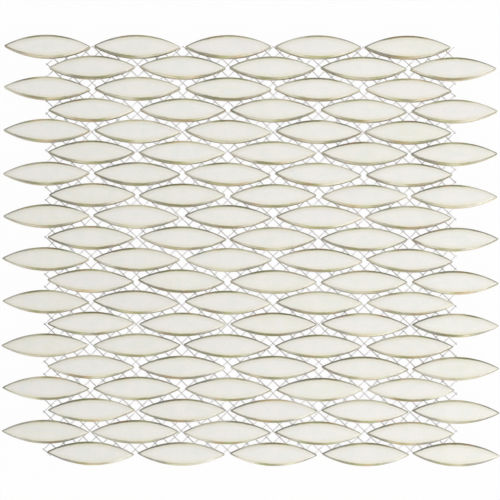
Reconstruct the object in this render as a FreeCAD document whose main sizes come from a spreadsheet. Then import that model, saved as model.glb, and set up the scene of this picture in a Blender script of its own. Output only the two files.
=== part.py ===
"""A mosaic sheet: lens-shaped glazed ceramic tiles in staggered rows, held together by a backing net.

The sheet lies flat, face up. X runs along the tiles, Y across the rows and Z up out of the glaze.
The origin is the middle of the sheet, on the surface that the net lies on.
Every tile is one pressed piece, with two round flanks that meet in two blunt tips.
The rows nest: a tile's widest part faces the tips of the rows beside it.
The net is two layers of flat yarn, laid across each other and cut off square.
"""

import os

import FreeCAD
import Part
import Sketcher

FOLDER = "parts"
Vector = FreeCAD.Vector

# Driving sizes in millimetres, degrees or pieces, each with what it is.
SIZES = [
    ("tile_length", 53.0, "one tile from tip to tip"),
    ("tile_width", 14.4, "one tile across its middle"),
    ("tile_thickness", 6.0, "glazed face to back"),
    ("tip_width", 1.0, "flat end of a tip"),
    ("tip_gap", 3.0, "joint between two tips in a row"),
    ("flank_gap", 2.35, "joint between the flanks of two rows"),
    ("tiles_per_row", 5, "tiles"),
    ("tile_rows", 20, "rows"),
    ("yarn_width", 0.5, "flat yarn of the net, seen from above"),
    ("yarn_thickness", 0.25, "flat yarn of the net, one layer"),
    ("yarn_pitch", 5.55, "middle of one yarn to the next"),
    ("yarn_slant", 43.8, "degrees between the yarns and the rows"),
    ("net_shift", 1.95, "nearest crossing of the net, right of the sheet's middle"),
    ("net_overhang", 1.0, "net past the middles of the outermost tiles"),
]

# Sizes that follow from the driving ones, each with its formula and what it is.
DERIVED = [
    (
        "flank_radius",
        "((<<sizes>>.tile_width - <<sizes>>.tip_width)^2 + <<sizes>>.tile_length^2)"
        " / (4 * (<<sizes>>.tile_width - <<sizes>>.tip_width))",
        "radius of a tile's two flanks",
    ),
    ("flank_offset", "flank_radius - <<sizes>>.tile_width / 2", "tile's middle to a flank's centre"),
    ("column_pitch", "<<sizes>>.tile_length + <<sizes>>.tip_gap", "tile to tile in a row"),
    (
        "row_pitch",
        "sqrt((2 * flank_radius + <<sizes>>.flank_gap)^2 - (column_pitch / 2)^2)"
        " - 2 * flank_offset",
        "row to row, so that the flanks of nested tiles keep their joint",
    ),
    ("tile_seat", "2 * <<sizes>>.yarn_thickness", "height of the tiles' backs, on both yarn layers"),
    (
        "net_length",
        "(<<sizes>>.tiles_per_row - 0.5) * column_pitch + 2 * <<sizes>>.net_overhang",
        "net along the rows",
    ),
    (
        "net_width",
        "(<<sizes>>.tile_rows - 1) * row_pitch + 2 * <<sizes>>.net_overhang",
        "net across the rows",
    ),
    (
        "net_reach",
        "(net_length * sin(<<sizes>>.yarn_slant * 1 deg)"
        " + net_width * cos(<<sizes>>.yarn_slant * 1 deg)) / 2",
        "sheet's middle to the net's corner, across the yarns",
    ),
    (
        "yarns_each_side",
        "floor((net_reach - <<sizes>>.yarn_pitch / 2 - <<sizes>>.net_shift) / <<sizes>>.yarn_pitch)",
        "yarns on each side of the middle one, all long enough to cross another",
    ),
]


def sizes_sheet(doc):
    """The spreadsheet of driving sizes, one aliased cell each."""
    sheet = doc.addObject("Spreadsheet::Sheet", "sizes")
    for row, (alias, value, what) in enumerate(SIZES, start=1):
        sheet.set(f"A{row}", alias)
        sheet.set(f"B{row}", str(value))
        sheet.set(f"C{row}", what)
        sheet.setAlias(f"B{row}", alias)
    doc.recompute()
    return sheet


def derived_sizes(doc):
    """The sizes that follow from the sheet, held as expressions."""
    layout = doc.addObject("App::VarSet", "layout")
    for name, formula, what in DERIVED:
        layout.addProperty("App::PropertyFloat", name, "Layout", what)
        layout.setExpression(name, formula)
    doc.recompute()
    return layout


def origin_feature(body, role):
    """A plane or axis of the body's own origin, such as XY_Plane or X_Axis."""
    return next(feature for feature in body.Origin.OriginFeatures if feature.Role == role)


def ground_sketch(body, name):
    """A sketch on the body's ground plane."""
    sketch = body.newObject("Sketcher::SketchObject", name)
    sketch.AttachmentSupport = [(origin_feature(body, "XY_Plane"), "")]
    sketch.MapMode = "FlatFace"
    return sketch


def closed_outline(sketch, curves):
    """Adds the curves to the sketch and joins each one's end to the next one's start."""
    sketch.addGeometry(curves)
    end, start = 2, 1
    for one in range(len(curves)):
        other = (one + 1) % len(curves)
        sketch.addConstraint(Sketcher.Constraint("Coincident", one, end, other, start))


def dimension(sketch, kind, targets, value, name, formula):
    """A named dimension of the sketch, bound to a formula."""
    sketch.addConstraint(Sketcher.Constraint(kind, *targets, value))
    sketch.renameConstraint(sketch.ConstraintCount - 1, name)
    sketch.setExpression(f"Constraints.{name}", formula)


def lens_outline(body, sheet, layout):
    """A tile seen from above: two flank arcs that meet in two blunt tips."""
    sketch = ground_sketch(body, "TileOutline")
    half_length = sheet.tile_length / 2
    half_width = sheet.tile_width / 2
    half_tip = sheet.tip_width / 2
    right_far, left_far = Vector(half_length, half_tip, 0), Vector(-half_length, half_tip, 0)
    right_near, left_near = Vector(half_length, -half_tip, 0), Vector(-half_length, -half_tip, 0)
    closed_outline(sketch, [
        Part.Arc(right_far, Vector(0, half_width, 0), left_far),
        Part.LineSegment(left_far, left_near),
        Part.Arc(left_near, Vector(0, -half_width, 0), right_near),
        Part.LineSegment(right_near, right_far),
    ])
    far_flank, left_tip, near_flank, right_tip = range(4)
    start, end, x_axis, y_axis = 1, 2, -1, -2
    for tip in (left_tip, right_tip):
        sketch.addConstraint(Sketcher.Constraint("Symmetric", tip, start, tip, end, x_axis))
    sketch.addConstraint(Sketcher.Constraint("Symmetric", left_tip, start, right_tip, end, y_axis))
    sketch.addConstraint(Sketcher.Constraint("Equal", far_flank, near_flank))
    dimension(
        sketch, "DistanceX", (left_tip, start, right_tip, end),
        sheet.tile_length, "TipToTip", "<<sizes>>.tile_length",
    )
    dimension(
        sketch, "DistanceY", (right_tip, start, right_tip, end),
        sheet.tip_width, "TipWidth", "<<sizes>>.tip_width",
    )
    dimension(
        sketch, "Radius", (far_flank,),
        layout.flank_radius, "FlankRadius", "<<layout>>.flank_radius",
    )
    return sketch


def tile_blank(doc, sheet, layout):
    """One tile on its own, pressed to the lens outline."""
    body = doc.addObject("PartDesign::Body", "TileBlank")
    slab = body.newObject("PartDesign::Pad", "Slab")
    slab.Profile = lens_outline(body, sheet, layout)
    slab.setExpression("Length", "<<sizes>>.tile_thickness")
    doc.recompute()
    return body


def tile_row(doc, blank, index):
    """A row of tiles, its index counted from the sheet's far edge.

    Even rows lie a quarter of the pitch to the left and odd rows as far to the right.
    """
    row = doc.addObject("PartDesign::Body", f"TileRow{index + 1:02d}")
    row.Label = f"tile_row_{index + 1:02d}"
    row.AllowCompound = True
    first = row.newObject("PartDesign::FeatureBase", f"FirstTile{index + 1:02d}")
    first.BaseFeature = blank
    row.Tip = first
    across = row.newObject("PartDesign::LinearPattern", f"Across{index + 1:02d}")
    across.TransformMode = "Whole shape"
    across.Direction = (origin_feature(row, "X_Axis"), [""])
    across.Mode = "Spacing"
    across.setExpression("Offset", "<<layout>>.column_pitch")
    across.setExpression("Occurrences", "<<sizes>>.tiles_per_row")
    row.Tip = across
    side = "+" if index % 2 else "-"
    row.setExpression(
        "Placement.Base.x",
        f"<<layout>>.column_pitch * ((1 - <<sizes>>.tiles_per_row) / 2 {side} 1 / 4)",
    )
    row.setExpression(
        "Placement.Base.y",
        f"<<layout>>.row_pitch * ((<<sizes>>.tile_rows - 1) / 2 - {index})",
    )
    row.setExpression("Placement.Base.z", "<<layout>>.tile_seat")
    return row


def yarn_outline(body, sheet, layout):
    """The first yarn of a layer seen from above, long enough to cross the whole net."""
    sketch = ground_sketch(body, f"{body.Name}Outline")
    sketch.setExpression("AttachmentOffset.Base.y", "-<<layout>>.yarns_each_side * <<sizes>>.yarn_pitch")
    half_length = (layout.net_length + layout.net_width) / 2
    half_width = sheet.yarn_width / 2
    left_near, right_near = Vector(-half_length, -half_width, 0), Vector(half_length, -half_width, 0)
    left_far, right_far = Vector(-half_length, half_width, 0), Vector(half_length, half_width, 0)
    closed_outline(sketch, [
        Part.LineSegment(left_near, right_near),
        Part.LineSegment(right_near, right_far),
        Part.LineSegment(right_far, left_far),
        Part.LineSegment(left_far, left_near),
    ])
    near, right, far, left = range(4)
    start, origin = 1, (-1, 1)
    for line in (near, far):
        sketch.addConstraint(Sketcher.Constraint("Horizontal", line))
    for line in (right, left):
        sketch.addConstraint(Sketcher.Constraint("Vertical", line))
    sketch.addConstraint(Sketcher.Constraint("Symmetric", near, start, far, start, *origin))
    dimension(
        sketch, "DistanceX", (near, start, right, start),
        2 * half_length, "Length", "<<layout>>.net_length + <<layout>>.net_width",
    )
    dimension(
        sketch, "DistanceY", (right, start, far, start),
        sheet.yarn_width, "Width", "<<sizes>>.yarn_width",
    )
    return sketch


def yarn_layer(doc, sheet, layout, name, turn, height):
    """One layer of the net: yarns side by side, turned to their slant and cut off at the net's edges."""
    body = doc.addObject("PartDesign::Body", f"{name}Yarns")
    body.AllowCompound = True
    yarn = body.newObject("PartDesign::Pad", f"{name}Yarn")
    yarn.Profile = yarn_outline(body, sheet, layout)
    yarn.setExpression("Length", "<<sizes>>.yarn_thickness")
    doc.recompute()
    spread = body.newObject("PartDesign::LinearPattern", f"{name}Spread")
    spread.Originals = [yarn]
    spread.Direction = (origin_feature(body, "Y_Axis"), [""])
    spread.Mode = "Spacing"
    spread.setExpression("Offset", "<<sizes>>.yarn_pitch")
    spread.setExpression("Occurrences", "2 * <<layout>>.yarns_each_side + 1")
    body.Tip = spread
    body.Placement.Rotation.Axis = Vector(0, 0, 1)
    body.setExpression("Placement.Rotation.Angle", turn)
    body.setExpression("Placement.Base.x", "<<sizes>>.net_shift")
    body.setExpression("Placement.Base.z", height)
    edges = doc.addObject("Part::Box", f"{name}Edges")
    edges.setExpression("Length", "<<layout>>.net_length")
    edges.setExpression("Width", "<<layout>>.net_width")
    edges.setExpression("Height", "<<sizes>>.yarn_thickness")
    edges.setExpression("Placement.Base.x", "-<<layout>>.net_length / 2")
    edges.setExpression("Placement.Base.y", "-<<layout>>.net_width / 2")
    edges.setExpression("Placement.Base.z", height)
    layer = doc.addObject("Part::Common", f"{name}Layer")
    layer.Label = f"net_{name.lower()}_yarns"
    layer.Base = body
    layer.Tool = edges
    return layer


def check(doc, pieces):
    """Stops if a feature failed, or if a piece isn't sound."""
    for item in doc.Objects:
        if "Invalid" in item.State or "Error" in item.State:
            raise RuntimeError(f"{item.Label} failed: {item.State}")
    for piece in pieces:
        shape = piece.Shape
        if shape.isNull() or not shape.isValid() or not shape.Solids:
            raise RuntimeError(f"{piece.Label} isn't a valid solid")


def write(pieces):
    """One STEP file for each sub-part, named by its label."""
    os.makedirs(FOLDER, exist_ok=True)
    for piece in pieces:
        piece.Shape.exportStep(os.path.join(FOLDER, piece.Label + ".step"))
        print(piece.Label, len(piece.Shape.Solids), "solids,", round(piece.Shape.Volume / 1000, 3), "cm3")


def main():
    doc = FreeCAD.newDocument("mosaic_sheet")
    sheet = sizes_sheet(doc)
    layout = derived_sizes(doc)
    blank = tile_blank(doc, sheet, layout)
    pieces = [tile_row(doc, blank, index) for index in range(int(sheet.tile_rows))]
    slant = "<<sizes>>.yarn_slant"
    pieces.append(yarn_layer(doc, sheet, layout, "Lower", slant, "0 mm"))
    pieces.append(yarn_layer(doc, sheet, layout, "Upper", f"-{slant}", "<<sizes>>.yarn_thickness"))
    doc.recompute()
    check(doc, pieces)
    write(pieces)


main()
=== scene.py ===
"""Looks of the mosaic sheet: glazed lens-shaped tiles on a fine net, on a white ground."""

import math
import random

import bmesh
import bpy
from mathutils import Euler, Matrix, Vector

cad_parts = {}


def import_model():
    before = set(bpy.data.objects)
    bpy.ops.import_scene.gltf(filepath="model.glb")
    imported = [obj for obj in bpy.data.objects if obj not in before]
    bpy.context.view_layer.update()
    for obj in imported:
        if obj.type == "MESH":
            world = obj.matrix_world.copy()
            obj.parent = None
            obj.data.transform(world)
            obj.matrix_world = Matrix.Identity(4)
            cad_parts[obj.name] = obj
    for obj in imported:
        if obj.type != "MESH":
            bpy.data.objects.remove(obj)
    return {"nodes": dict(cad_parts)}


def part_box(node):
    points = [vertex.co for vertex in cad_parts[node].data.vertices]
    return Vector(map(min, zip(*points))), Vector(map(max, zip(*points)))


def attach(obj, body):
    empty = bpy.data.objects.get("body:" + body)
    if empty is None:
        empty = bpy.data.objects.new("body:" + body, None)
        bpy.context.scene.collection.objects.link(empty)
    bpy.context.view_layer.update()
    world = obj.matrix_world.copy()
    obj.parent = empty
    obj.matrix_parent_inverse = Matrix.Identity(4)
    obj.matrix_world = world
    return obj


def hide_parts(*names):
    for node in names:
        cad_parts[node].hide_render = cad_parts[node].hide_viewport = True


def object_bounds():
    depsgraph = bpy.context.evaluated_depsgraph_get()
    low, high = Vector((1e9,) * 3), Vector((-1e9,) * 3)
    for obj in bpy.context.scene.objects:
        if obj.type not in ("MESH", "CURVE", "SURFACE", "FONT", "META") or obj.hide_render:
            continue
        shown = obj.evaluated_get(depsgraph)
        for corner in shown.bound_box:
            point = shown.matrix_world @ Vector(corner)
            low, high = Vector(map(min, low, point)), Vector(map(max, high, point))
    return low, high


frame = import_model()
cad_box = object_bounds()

MM = 0.001
SEED = 7
WHITE = (1.0, 1.0, 1.0, 1.0)

TILE_ROWS = sorted(name for name in frame["nodes"] if name.startswith("tile_row"))
LOWER_YARNS = "net_lower_yarns"
UPPER_YARNS = "net_upper_yarns"


# Sizes of the tiles, read from the CAD rows. The second row lies half a column to the right.

def row_box(index):
    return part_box(TILE_ROWS[index])


FIRST_LOW, FIRST_HIGH = row_box(0)
SECOND_LOW = row_box(1)[0]
COLUMN_PITCH = 2 * (SECOND_LOW[0] - FIRST_LOW[0])
TILES_PER_ROW = int((FIRST_HIGH[0] - FIRST_LOW[0]) // COLUMN_PITCH) + 1
TILE_LENGTH = FIRST_HIGH[0] - FIRST_LOW[0] - (TILES_PER_ROW - 1) * COLUMN_PITCH
TILE_WIDTH = FIRST_HIGH[1] - FIRST_LOW[1]
TILE_FACE = FIRST_HIGH[2]
TILE_THICKNESS = TILE_FACE - FIRST_LOW[2]

# Form of one tile. CUSHION_FALL says how much of the cushion is left to rise at an inset.
TIP_RADIUS = 0.55 * MM
SHARPEST_TIP = 0.15 * MM
RIM_RUN = 1.3 * MM
RIM_FALL = 1.1 * MM
CUSHION = 0.12 * MM
CUSHION_FALL = ((2.0 * MM, 0.6), (3.2 * MM, 0.25), (4.8 * MM, 0.06))
BACK_EDGE = 0.35 * MM
FLANK_STEPS = 28
TIP_STEPS = 6
RIM_STEPS = 7

# How the tiles were set by hand. A scatter is a standard deviation, cut off at SCATTER_LIMIT of them.
SCATTER_ALONG = 0.36 * MM
SCATTER_ACROSS = 0.11 * MM
LEAN = math.radians(-0.48)
LEAN_SCATTER = math.radians(0.8)
SCATTER_LIMIT = 1.5
SKEW = math.radians(0.176)
EDGE_ROOM = 0.03 * MM

# The glaze's patterns: how wide their patches are, and how high its waves.
CLOUD_SIZE = 9 * MM
FLECK_SIZE = 1.6 * MM
HUE_SIZE = 5 * MM
TAN_SIZE = 17 * MM
OLIVE_SIZE = 8 * MM
THICK_SIZE = 20 * MM
WAVE_SIZE = 4 * MM
WAVE_HEIGHT = 0.05 * MM

# The ranges of noise over which the patches fade in.
FACE_FADE = (0.35, 0.65)
FLECK_FADE = (0.35, 0.75)
RIM_FADE = (0.36, 0.64)
PALE_FADE = (0.45, 0.66)
THICK_FADE = (0.34, 0.66)
GRAIN_FADE = (0.3, 0.7)

# How strongly the patches, the halo and the palest tile's tone show.
HUE_SHARE = 0.55
CLOUD_SHARE = 0.5
FLECK_SHARE = 0.2
PALE_SHARE = 0.6
HALO_SHARE = 0.7
TONE_SHARE = 0.7

# The rim's brightness, from thin glaze to thick, and from tile to tile.
THICK_BRIGHTNESS = (0.62, 1.4)
TILE_BRIGHTNESS = (0.9, 1.1)

# Along a tile, in half lengths: where the tips' colours fade in, and where the rim narrows towards
# both tips and towards the right one, by these factors. The narrowing towards the right tip is a
# painted highlight: the dark rim there is thinned as if lit from the right.
TIP_FADE = (0.2, 0.7)
TAPER_FADE = (0.4, 0.95)
TAPER = (0.97, 1.5)
# Painted highlight: the dark rim thins towards the right tip, as if lit from the right.
RIGHT_HIGHLIGHT_FADE = (-0.2, 0.6)
RIGHT_HIGHLIGHT_TAPER = (1.0, 1.22)

# The glaze's zones, in mm inwards from the flank: where they are full, where they are gone, and how
# far the borders wander.
RIM_FULL = 0.8
RIM_GONE = 1.7
HALO_FULL = 1.2
HALO_GONE = 4.2
GLAZE_WANDER = 0.5
GLAZE_WANDER_SIZE = 2.5 * MM

# The bare clay, in mm below the face: where it begins, where it is full, and how far that wanders.
CLAY_BEGINS = 0.9
CLAY_FULL = 1.5
CLAY_WANDER = 1.6
CLAY_WANDER_SIZE = 3 * MM

# The clay's grain.
GRAIN_SIZE = 0.35 * MM
GRAIN_HEIGHT = 0.08 * MM

# How the surfaces take light.
GLAZE_SPECULAR = 0.8
GLAZE_ROUGHNESS = 0.2
CLAY_ROUGHNESS = 0.85
YARN_ROUGHNESS = 0.55
YARN_TRANSMISSION = 0.25
YARN_IOR = 1.3

# The net. Yarns shorter than SHORTEST_YARN are left out, and TWIST_STEPS is for each of its cells.
YARN_PITCH = 5.55 * MM
YARN_SLANT = math.radians(43.8)
NET_SHIFT = 1.95 * MM
SHORTEST_YARN = YARN_PITCH / 4
FLAT_YARN_WIDTH = 0.45 * MM
FLAT_YARN_THICKNESS = 0.16 * MM
FLAT_YARN_SIDES = 6
STRAND_RADIUS = 0.115 * MM
STRAND_SIDES = 5
PAIR_SPREAD = 0.085 * MM
PAIR_LIFT = 0.12 * MM
TWIST_STEPS = 4

# The coating's knots, in yarn pitches from a crossing: where they are full and where they are gone.
KNOT_FULL = 0.04
KNOT_GONE = 0.08

# The coating's patches, and the fibres that show through it.
COAT_PATCH = 3 * MM
FIBRE_SIZE = 0.12 * MM
FIBRE_HEIGHT = 0.02 * MM

# The setting. GROUND_GLOW is the share of the ground that shows as plain white to the camera.
GROUND_SIZE = 6.0
GROUND_GAP = 0.01 * MM
GROUND_COLOUR = (0.55, 0.545, 0.53, 1.0)
GROUND_GLOW = 0.975
WORLD_LIGHT = 0.22

# The camera, in pixels of a picture PICTURE_WIDTH wide.
PICTURE_WIDTH = 500
SHEET_PER_PIXEL = 0.6145 * MM
CAMERA_DISTANCE_PIXELS = 3000
CAMERA_TILT = math.radians(5.5)
CAMERA_ROLL = math.radians(0.109)
CAMERA_AIM = (-0.28 * MM, -0.7 * MM)
SENSOR_WIDTH = 36.0
FARTHEST_VIEW = 10.0


# Small helpers.

def lerp(a, b, t):
    return a + (b - a) * t


def clamp(value, lowest, highest):
    return max(lowest, min(highest, value))


def join_rings(mesh, rings):
    """Joins rings of vertices with quads, and closes the first and the last ring."""
    for low, high in zip(rings, rings[1:]):
        for i in range(len(low)):
            j = (i + 1) % len(low)
            mesh.faces.new((low[i], low[j], high[j], high[i]))
    mesh.faces.new(list(reversed(rings[0])))
    mesh.faces.new(rings[-1])


def new_piece(name, mesh, material):
    """A smooth piece of the object made from a bmesh, riding on the one body."""
    data = bpy.data.meshes.new(name)
    mesh.to_mesh(data)
    mesh.free()
    data.shade_smooth()
    piece = bpy.data.objects.new(name, data)
    bpy.context.scene.collection.objects.link(piece)
    data.materials.append(material)
    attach(piece, "root")
    return piece


def srgb(red, green, blue):
    """A linear colour from 8-bit sRGB values."""
    def linear(value):
        value /= 255
        return value / 12.92 if value <= 0.04045 else ((value + 0.055) / 1.055) ** 2.4
    return (linear(red), linear(green), linear(blue), 1.0)


class Nodes:
    """A material's node tree, with short ways to add and link nodes."""

    def __init__(self, name):
        self.material = bpy.data.materials.new(name)
        self.material.use_nodes = True
        self.tree = self.material.node_tree
        self.tree.nodes.clear()

    def add(self, kind, **values):
        node = self.tree.nodes.new(kind)
        for key, value in values.items():
            setattr(node, key, value)
        return node

    def link(self, output, socket):
        self.tree.links.new(output, socket)

    def feed(self, socket, value):
        if isinstance(value, bpy.types.NodeSocket):
            self.link(value, socket)
        else:
            socket.default_value = value

    def math(self, operation, a, b=0.0):
        node = self.add("ShaderNodeMath", operation=operation)
        self.feed(node.inputs[0], a)
        self.feed(node.inputs[1], b)
        return node.outputs[0]

    def mix(self, factor, a, b, blend="MIX"):
        node = self.add("ShaderNodeMix", data_type="RGBA", blend_type=blend)
        self.feed(node.inputs[0], factor)
        self.feed(node.inputs[6], a)
        self.feed(node.inputs[7], b)
        return node.outputs[2]

    def smooth(self, value, low, high, to_low=0.0, to_high=1.0):
        """Eases from to_low, where value is at low, to to_high, where it is at high."""
        node = self.add("ShaderNodeMapRange", interpolation_type="SMOOTHSTEP")
        self.feed(node.inputs["Value"], value)
        node.inputs["From Min"].default_value = low
        node.inputs["From Max"].default_value = high
        node.inputs["To Min"].default_value = to_low
        node.inputs["To Max"].default_value = to_high
        return node.outputs["Result"]

    def attribute(self, name):
        return self.add("ShaderNodeAttribute", attribute_name=name).outputs["Fac"]

    def noise(self, size, detail=2.0, roughness=0.5, offset=(0.0, 0.0, 0.0)):
        """Noise in object space whose features are about size wide, in metres."""
        where = self.add("ShaderNodeTexCoord").outputs["Object"]
        shift = self.add("ShaderNodeVectorMath", operation="ADD")
        self.link(where, shift.inputs[0])
        shift.inputs[1].default_value = offset
        node = self.add("ShaderNodeTexNoise")
        self.link(shift.outputs[0], node.inputs["Vector"])
        node.inputs["Scale"].default_value = 1 / size
        node.inputs["Detail"].default_value = detail
        node.inputs["Roughness"].default_value = roughness
        return node.outputs["Fac"]

    def wander(self, size, reach):
        """Noise about zero: a border that it is added to wanders by half of reach at most."""
        return self.math("MULTIPLY", self.math("SUBTRACT", self.noise(size), 0.5), reach)

    def from_yarn(self, slant):
        """Distance from the nearest yarn of one direction, in yarn pitches."""
        sine, cosine = math.sin(slant), math.cos(slant)
        where = self.add("ShaderNodeTexCoord").outputs["Object"]
        across = self.add("ShaderNodeVectorMath", operation="DOT_PRODUCT")
        self.link(where, across.inputs[0])
        across.inputs[1].default_value = (-sine / YARN_PITCH, cosine / YARN_PITCH, 0.0)
        shifted = self.math("ADD", across.outputs["Value"], NET_SHIFT * sine / YARN_PITCH)
        return self.math("PINGPONG", shifted, 0.5)

    def bump(self, height, distance, below=None):
        node = self.add("ShaderNodeBump")
        node.inputs["Distance"].default_value = distance
        self.link(height, node.inputs["Height"])
        if below is not None:
            self.link(below, node.inputs["Normal"])
        return node.outputs["Normal"]

    def surface(self, shader):
        self.link(shader, self.add("ShaderNodeOutputMaterial").inputs["Surface"])
        return self.material


# Materials.

def face_colour(n, tint, tone):
    """Off-white with faint clouds and flecks, from cream to rose by tint and paler by tone."""
    cloud = n.noise(CLOUD_SIZE, detail=3)
    fleck = n.noise(FLECK_SIZE, detail=3, roughness=0.6)
    hue = n.noise(HUE_SIZE, detail=2, offset=(0.1, 0.7, 0.0))
    colour = n.mix(tint, srgb(231, 230, 216), srgb(233, 229, 228))
    colour = n.mix(tone, colour, srgb(237, 236, 230))
    colour = n.mix(n.smooth(hue, *FACE_FADE, to_high=HUE_SHARE), colour, srgb(227, 231, 227))
    colour = n.mix(n.smooth(cloud, *FACE_FADE, to_high=CLOUD_SHARE), colour, srgb(239, 235, 230))
    return n.mix(n.smooth(fleck, *FLECK_FADE, to_high=FLECK_SHARE), colour, srgb(220, 217, 208))


def rim_colour(n, tint, tip):
    """Grey with patches of tan and olive, greyer at the tips and paler where the glaze is thick."""
    warm = n.smooth(n.noise(TAN_SIZE, detail=1, offset=(0.3, 0.1, 0.0)), *RIM_FADE)
    olive = n.smooth(n.noise(OLIVE_SIZE, detail=1, offset=(0.6, 0.2, 0.0)), *RIM_FADE)
    grey = n.mix(tip, srgb(158, 154, 134), srgb(165, 163, 155))
    colour = n.mix(warm, grey, n.mix(tip, srgb(178, 155, 109), srgb(171, 161, 141)))
    colour = n.mix(olive, colour, n.mix(tip, srgb(155, 158, 106), srgb(163, 166, 143)))
    thick = n.noise(THICK_SIZE, detail=1, offset=(0.2, 0.9, 0.0))
    pale = n.smooth(thick, *PALE_FADE, to_high=PALE_SHARE)
    colour = n.mix(pale, colour, srgb(178, 175, 163))
    patchy = n.smooth(thick, *THICK_FADE, *THICK_BRIGHTNESS)
    by_tile = n.smooth(tint, 0.0, 1.0, *TILE_BRIGHTNESS)
    return n.mix(1.0, colour, n.math("MULTIPLY", patchy, by_tile), blend="MULTIPLY")


def tile_material():
    """Satin off-white glaze that breaks to a grey, tan and olive rim, over a pale tan body.

    A creamy halo lies inside the rim. The rim is narrower and greyer towards the tips, and
    narrowest at the right-hand ones, where that is a painted highlight of light from the right.
    The glaze ends on the tile's sides, on bare clay.
    """
    n = Nodes("glazed_tile")
    inset = n.attribute("inset_mm")
    drop = n.attribute("drop_mm")
    tint = n.attribute("tint")
    tone = n.attribute("tone")
    along = n.attribute("along")
    from_middle = n.math("ABSOLUTE", along)
    tip = n.smooth(from_middle, *TIP_FADE)

    inset = n.math("ADD", inset, n.wander(GLAZE_WANDER_SIZE, GLAZE_WANDER))
    cream = n.mix(tip, srgb(223, 217, 194), srgb(227, 223, 210))
    halo = n.smooth(inset, HALO_GONE, HALO_FULL, to_high=HALO_SHARE)
    glaze = n.mix(halo, face_colour(n, tint, tone), cream)
    taper = n.smooth(from_middle, *TAPER_FADE, *TAPER)
    # The taper towards both tips, times a painted highlight that thins the rim towards the right tip.
    narrower = n.math("MULTIPLY", taper, n.smooth(along, *RIGHT_HIGHLIGHT_FADE, *RIGHT_HIGHLIGHT_TAPER))
    rim = n.smooth(n.math("MULTIPLY", inset, narrower), RIM_GONE, RIM_FULL)
    glaze = n.mix(rim, glaze, rim_colour(n, tint, tip))

    grain = n.noise(GRAIN_SIZE, detail=4, roughness=0.7)
    clay = n.mix(n.smooth(grain, *GRAIN_FADE), srgb(203, 188, 156), srgb(220, 209, 184))
    border = n.math("ADD", drop, n.wander(CLAY_WANDER_SIZE, CLAY_WANDER))
    bare = n.smooth(border, CLAY_BEGINS, CLAY_FULL)

    shader = n.add("ShaderNodeBsdfPrincipled")
    n.link(n.mix(bare, glaze, clay), shader.inputs["Base Color"])
    shader.inputs["Specular IOR Level"].default_value = GLAZE_SPECULAR
    roughness = n.smooth(bare, 0.0, 1.0, GLAZE_ROUGHNESS, CLAY_ROUGHNESS)
    n.link(roughness, shader.inputs["Roughness"])
    waves = n.bump(n.noise(WAVE_SIZE, detail=1), WAVE_HEIGHT)
    grit = n.bump(n.math("MULTIPLY", grain, bare), GRAIN_HEIGHT, below=waves)
    n.link(grit, shader.inputs["Normal"])
    return n.surface(shader.outputs[0])


def yarn_material():
    """Glass fibre in a pale coating, which is thicker and whiter at the net's crossings."""
    n = Nodes("net_yarn")
    shader = n.add("ShaderNodeBsdfPrincipled")
    coat = n.mix(n.noise(COAT_PATCH, detail=3), srgb(217, 212, 212), srgb(240, 235, 232))
    from_crossing = n.math("MAXIMUM", n.from_yarn(YARN_SLANT), n.from_yarn(-YARN_SLANT))
    knot = n.smooth(from_crossing, KNOT_GONE, KNOT_FULL)
    n.link(n.mix(knot, coat, srgb(240, 239, 240)), shader.inputs["Base Color"])
    shader.inputs["Roughness"].default_value = YARN_ROUGHNESS
    shader.inputs["Transmission Weight"].default_value = YARN_TRANSMISSION
    shader.inputs["IOR"].default_value = YARN_IOR
    n.link(n.bump(n.noise(FIBRE_SIZE, detail=2), FIBRE_HEIGHT), shader.inputs["Normal"])
    return n.surface(shader.outputs[0])


def ground_material():
    """A white ground: seen or mirrored it stays white, with a trace of the sheet's shadow."""
    n = Nodes("white_ground")
    diffuse = n.add("ShaderNodeBsdfDiffuse")
    diffuse.inputs["Color"].default_value = GROUND_COLOUR
    glow = n.add("ShaderNodeEmission")
    glow.inputs["Color"].default_value = WHITE
    glow.inputs["Strength"].default_value = 1.0
    ray = n.add("ShaderNodeLightPath")
    seen = n.math("MAXIMUM", ray.outputs["Is Camera Ray"], ray.outputs["Is Glossy Ray"])
    seen = n.math("MAXIMUM", seen, ray.outputs["Is Transmission Ray"])
    blend = n.add("ShaderNodeMixShader")
    n.link(n.math("MULTIPLY", seen, GROUND_GLOW), blend.inputs[0])
    n.link(diffuse.outputs[0], blend.inputs[1])
    n.link(glow.outputs[0], blend.inputs[2])
    return n.surface(blend.outputs[0])


# Tiles.

def lens_ring(inset):
    """The tile's outline moved inwards, as points round it.

    It has two flanks, whose centres lie offset from the tile's middle, and two tips. The points
    run over the far flank, the left tip, the near flank and the right tip.
    """
    tip_centre = TILE_LENGTH / 2 - TIP_RADIUS
    rise = TILE_WIDTH / 2 - TIP_RADIUS
    offset = (tip_centre**2 - rise**2) / (2 * rise)
    radius = offset + TILE_WIDTH / 2 - inset
    tip = max(TIP_RADIUS - inset, SHARPEST_TIP)
    centre = math.sqrt((radius - tip) ** 2 - offset**2)
    meet = math.atan2(offset, centre)
    points = []
    for step in range(FLANK_STEPS):
        turn = lerp(meet, math.pi - meet, step / FLANK_STEPS)
        points.append((radius * math.cos(turn), radius * math.sin(turn) - offset))
    for step in range(TIP_STEPS):
        turn = lerp(math.pi - meet, math.pi + meet, step / TIP_STEPS)
        points.append((tip * math.cos(turn) - centre, tip * math.sin(turn)))
    return points + [(-x, -y) for x, y in points]


def tile_profile():
    """(inset, drop below the face) from the back's edge up the side, over the rim to the face."""
    profile = [
        (BACK_EDGE, TILE_THICKNESS),
        (0.0, TILE_THICKNESS - BACK_EDGE),
        (0.0, TILE_THICKNESS / 2),
    ]
    for step in range(RIM_STEPS + 1):
        turn = math.pi / 2 * step / RIM_STEPS
        drop = CUSHION + (RIM_FALL - CUSHION) * (1 - math.sin(turn))
        profile.append((RIM_RUN * (1 - math.cos(turn)), drop))
    return profile + [(inset, CUSHION * share) for inset, share in CUSHION_FALL]


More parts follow.
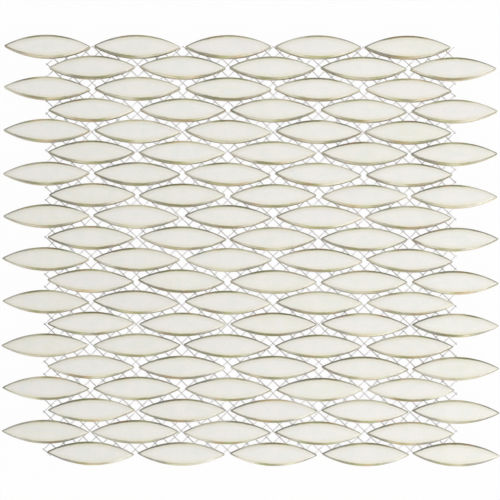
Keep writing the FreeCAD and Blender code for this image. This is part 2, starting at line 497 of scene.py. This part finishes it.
def add_tile(mesh, layers, place, tint, tone):
    """Adds one tile to the row's mesh, each vertex with the values that the glaze reads."""
    rings = []
    for inset, drop in tile_profile():
        ring = []
        for x, y in lens_ring(inset):
            vertex = mesh.verts.new(place @ Vector((x, y, TILE_FACE - drop)))
            values = (inset / MM, drop / MM, tint, tone, x / (TILE_LENGTH / 2))
            for layer, value in zip(layers, values):
                vertex[layer] = value
            ring.append(vertex)
        rings.append(ring)
    join_rings(mesh, rings)


def scatter(chance):
    """A random error in standard deviations, with no rare large ones."""
    return clamp(chance.gauss(0, 1), -SCATTER_LIMIT, SCATTER_LIMIT)


def tile_places(index, chance):
    """Where a row's tiles lie: near their CAD places, as set by hand, and inside the CAD box."""
    low, high = row_box(index)
    y = (low[1] + high[1]) / 2
    reach_along = TILE_LENGTH / 2 + EDGE_ROOM
    reach_across = TILE_WIDTH / 2 + EDGE_ROOM
    places = []
    for column in range(TILES_PER_ROW):
        x = low[0] + TILE_LENGTH / 2 + column * COLUMN_PITCH
        along = x - SKEW * y + scatter(chance) * SCATTER_ALONG
        across = y - SKEW * x + scatter(chance) * SCATTER_ACROSS
        along = clamp(along, cad_box[0][0] + reach_along, cad_box[1][0] - reach_along)
        across = clamp(across, cad_box[0][1] + reach_across, cad_box[1][1] - reach_across)
        lean = LEAN + scatter(chance) * LEAN_SCATTER
        places.append(Matrix.Translation((along, across, 0)) @ Matrix.Rotation(lean, 4, "Z"))
    return places


def tile_row(index, material, chance):
    mesh = bmesh.new()
    names = ("inset_mm", "drop_mm", "tint", "tone", "along")
    layers = [mesh.verts.layers.float.new(name) for name in names]
    for place in tile_places(index, chance):
        add_tile(mesh, layers, place, chance.random(), TONE_SHARE * chance.random())
    piece = new_piece(f"glazed_{TILE_ROWS[index]}", mesh, material)
    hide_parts(TILE_ROWS[index])


# The net.

def clipped(centre, heading, low, high):
    """The part of a line inside the net's rectangle, as two distances along it, or None."""
    near, far = -math.inf, math.inf
    for axis in range(2):
        a = (low[axis] - centre[axis]) / heading[axis]
        b = (high[axis] - centre[axis]) / heading[axis]
        near, far = max(near, min(a, b)), min(far, max(a, b))
    return (near, far) if far - near > SHORTEST_YARN else None


def yarn_lines(slant):
    """The yarns of one direction, cut to the net: (number, a point on it, heading, start, end)."""
    low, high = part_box(LOWER_YARNS)
    heading = Vector((math.cos(slant), math.sin(slant)))
    across = Vector((-heading.y, heading.x))
    reach = math.hypot(high[0] - low[0], high[1] - low[1]) / 2
    count = int(reach / YARN_PITCH)
    lines = []
    for number in range(-count, count + 1):
        centre = Vector((NET_SHIFT, 0)) + across * number * YARN_PITCH
        ends = clipped(centre, heading, low, high)
        if ends:
            lines.append((number, centre, heading, *ends))
    return lines


def net_middle():
    """The height at which the net's two layers meet."""
    return (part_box(LOWER_YARNS)[0][2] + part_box(UPPER_YARNS)[1][2]) / 2


def add_tube(mesh, centres, sideways, half_width, half_height, sides):
    """A tube through the centres, its section an ellipse, closed at both ends."""
    rings = []
    for centre in centres:
        ring = []
        for side in range(sides):
            turn = 2 * math.pi * side / sides
            lift = Vector((0, 0, half_height * math.sin(turn)))
            ring.append(mesh.verts.new(centre + sideways * half_width * math.cos(turn) + lift))
        rings.append(ring)
    join_rings(mesh, rings)


def net_piece(name, build, node, material):
    mesh = bmesh.new()
    build(mesh)
    piece = new_piece(name, mesh, material)
    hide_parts(node)


def flat_yarns(mesh):
    """The single flat yarns, straight between the two strands of each pair that they meet."""
    middle = net_middle()
    half_width, half_height = FLAT_YARN_WIDTH / 2, FLAT_YARN_THICKNESS / 2
    for _, centre, heading, start, end in yarn_lines(-YARN_SLANT):
        sideways = Vector((-heading.y, heading.x, 0))
        steps = max(1, round((end - start) / YARN_PITCH))
        centres = []
        for step in range(steps + 1):
            point = centre + heading * lerp(start, end, step / steps)
            centres.append(Vector((point.x, point.y, middle)))
        add_tube(mesh, centres, sideways, half_width, half_height, FLAT_YARN_SIDES)


def paired_yarns(mesh):
    """Pairs of thin strands that twist half a turn between one flat yarn and the next."""
    middle = net_middle()
    cell = YARN_PITCH / math.sin(2 * YARN_SLANT)
    for number, centre, heading, start, end in yarn_lines(YARN_SLANT):
        sideways = Vector((-heading.y, heading.x, 0))
        steps = max(2, round((end - start) / cell * TWIST_STEPS))
        for half_turn in (0.0, math.pi):
            centres = []
            for step in range(steps + 1):
                where = lerp(start, end, step / steps)
                turn = math.pi * where / cell + math.pi * number / 2 + half_turn
                point = centre + heading * where
                spread = sideways * PAIR_SPREAD * math.sin(turn)
                lift = PAIR_LIFT * math.cos(turn)
                centres.append(Vector((point.x, point.y, middle + lift)) + spread)
            add_tube(mesh, centres, sideways, STRAND_RADIUS, STRAND_RADIUS, STRAND_SIDES)


# The setting.

def ground():
    half = GROUND_SIZE / 2
    below = cad_box[0][2] - GROUND_GAP
    corners = ((-half, -half), (half, -half), (half, half), (-half, half))
    mesh = bpy.data.meshes.new("ground")
    mesh.from_pydata([(x, y, below) for x, y in corners], [], [(0, 1, 2, 3)])
    mesh.materials.append(ground_material())
    plane = bpy.data.objects.new("ground", mesh)
    bpy.context.scene.collection.objects.link(plane)


def area_light(name, place, size, power, height=None, mirrored=True):
    """A lamp aimed at the sheet's middle: round, or upright with a height.

    One that isn't mirrored doesn't show in the glaze.
    """
    light = bpy.data.lights.new(name, "AREA")
    light.shape = "RECTANGLE" if height else "DISK"
    light.size = size
    light.size_y = height or size
    light.energy = power
    lamp = bpy.data.objects.new(name, light)
    lamp.location = place
    lamp.rotation_euler = (-Vector(place)).to_track_quat("-Z", "Y").to_euler()
    lamp.visible_glossy = mirrored
    bpy.context.scene.collection.objects.link(lamp)


def world():
    """Soft light from all round, and plain white where the camera sees past the ground."""
    studio = bpy.data.worlds.new("studio")
    bpy.context.scene.world = studio
    studio.use_nodes = True
    tree = studio.node_tree
    back = tree.nodes["Background"]
    back.inputs["Color"].default_value = WHITE
    ray = tree.nodes.new("ShaderNodeLightPath")
    level = tree.nodes.new("ShaderNodeMapRange")
    level.inputs["To Min"].default_value = WORLD_LIGHT
    level.inputs["To Max"].default_value = 1.0
    tree.links.new(ray.outputs["Is Camera Ray"], level.inputs["Value"])
    tree.links.new(level.outputs["Result"], back.inputs["Strength"])


def lights():
    """Soft lamps, most of them in front or to the right, and low ones that graze the tiles."""
    area_light("top", (3.6, -0.45, 5.4), 2.2, 70)
    area_light("key", (2.56, -1.92, 1.92), 1.2, 27, mirrored=False)
    area_light("low_front", (0.7, -1.1, 0.3), 0.4, 4.4, mirrored=False)
    area_light("low_back", (1.0, 0.85, 0.3), 0.4, 4.0, mirrored=False)
    area_light("back", (0.0, 0.6, 0.65), 0.4, 2.0, mirrored=False)
    area_light("front_left", (-1.3, -4.0, 3.0), 2.0, 34)
    area_light("front_right", (1.3, -4.0, 3.0), 2.0, 66)
    area_light("side", (0.42, -0.1, 0.1), 0.12, 0.18, height=0.9)
    area_light("strip", (0.28, -0.5, 0.4), 0.12, 0.85, height=0.6, mirrored=False)


def camera():
    distance = CAMERA_DISTANCE_PIXELS * SHEET_PER_PIXEL
    data = bpy.data.cameras.new("camera")
    data.sensor_width = SENSOR_WIDTH
    data.lens = SENSOR_WIDTH * CAMERA_DISTANCE_PIXELS / PICTURE_WIDTH
    data.clip_end = FARTHEST_VIEW
    eye = bpy.data.objects.new("camera", data)
    aim = Vector((*CAMERA_AIM, TILE_FACE))
    eye.location = aim + distance * Vector((0, -math.sin(CAMERA_TILT), math.cos(CAMERA_TILT)))
    tilt = Euler((CAMERA_TILT, 0, 0)).to_matrix()
    roll = Matrix.Rotation(CAMERA_ROLL, 3, "Z")
    eye.rotation_euler = (tilt @ roll).to_euler()
    bpy.context.scene.collection.objects.link(eye)
    bpy.context.scene.camera = eye


def main():
    bpy.context.scene.view_settings.view_transform = "Standard"
    chance = random.Random(SEED)
    glaze = tile_material()
    for index in range(len(TILE_ROWS)):
        tile_row(index, glaze, chance)
    yarn = yarn_material()
    net_piece("net_flat_yarns", flat_yarns, UPPER_YARNS, yarn)
    net_piece("net_paired_yarns", paired_yarns, LOWER_YARNS, yarn)
    ground()
    world()
    lights()
    camera()


main()
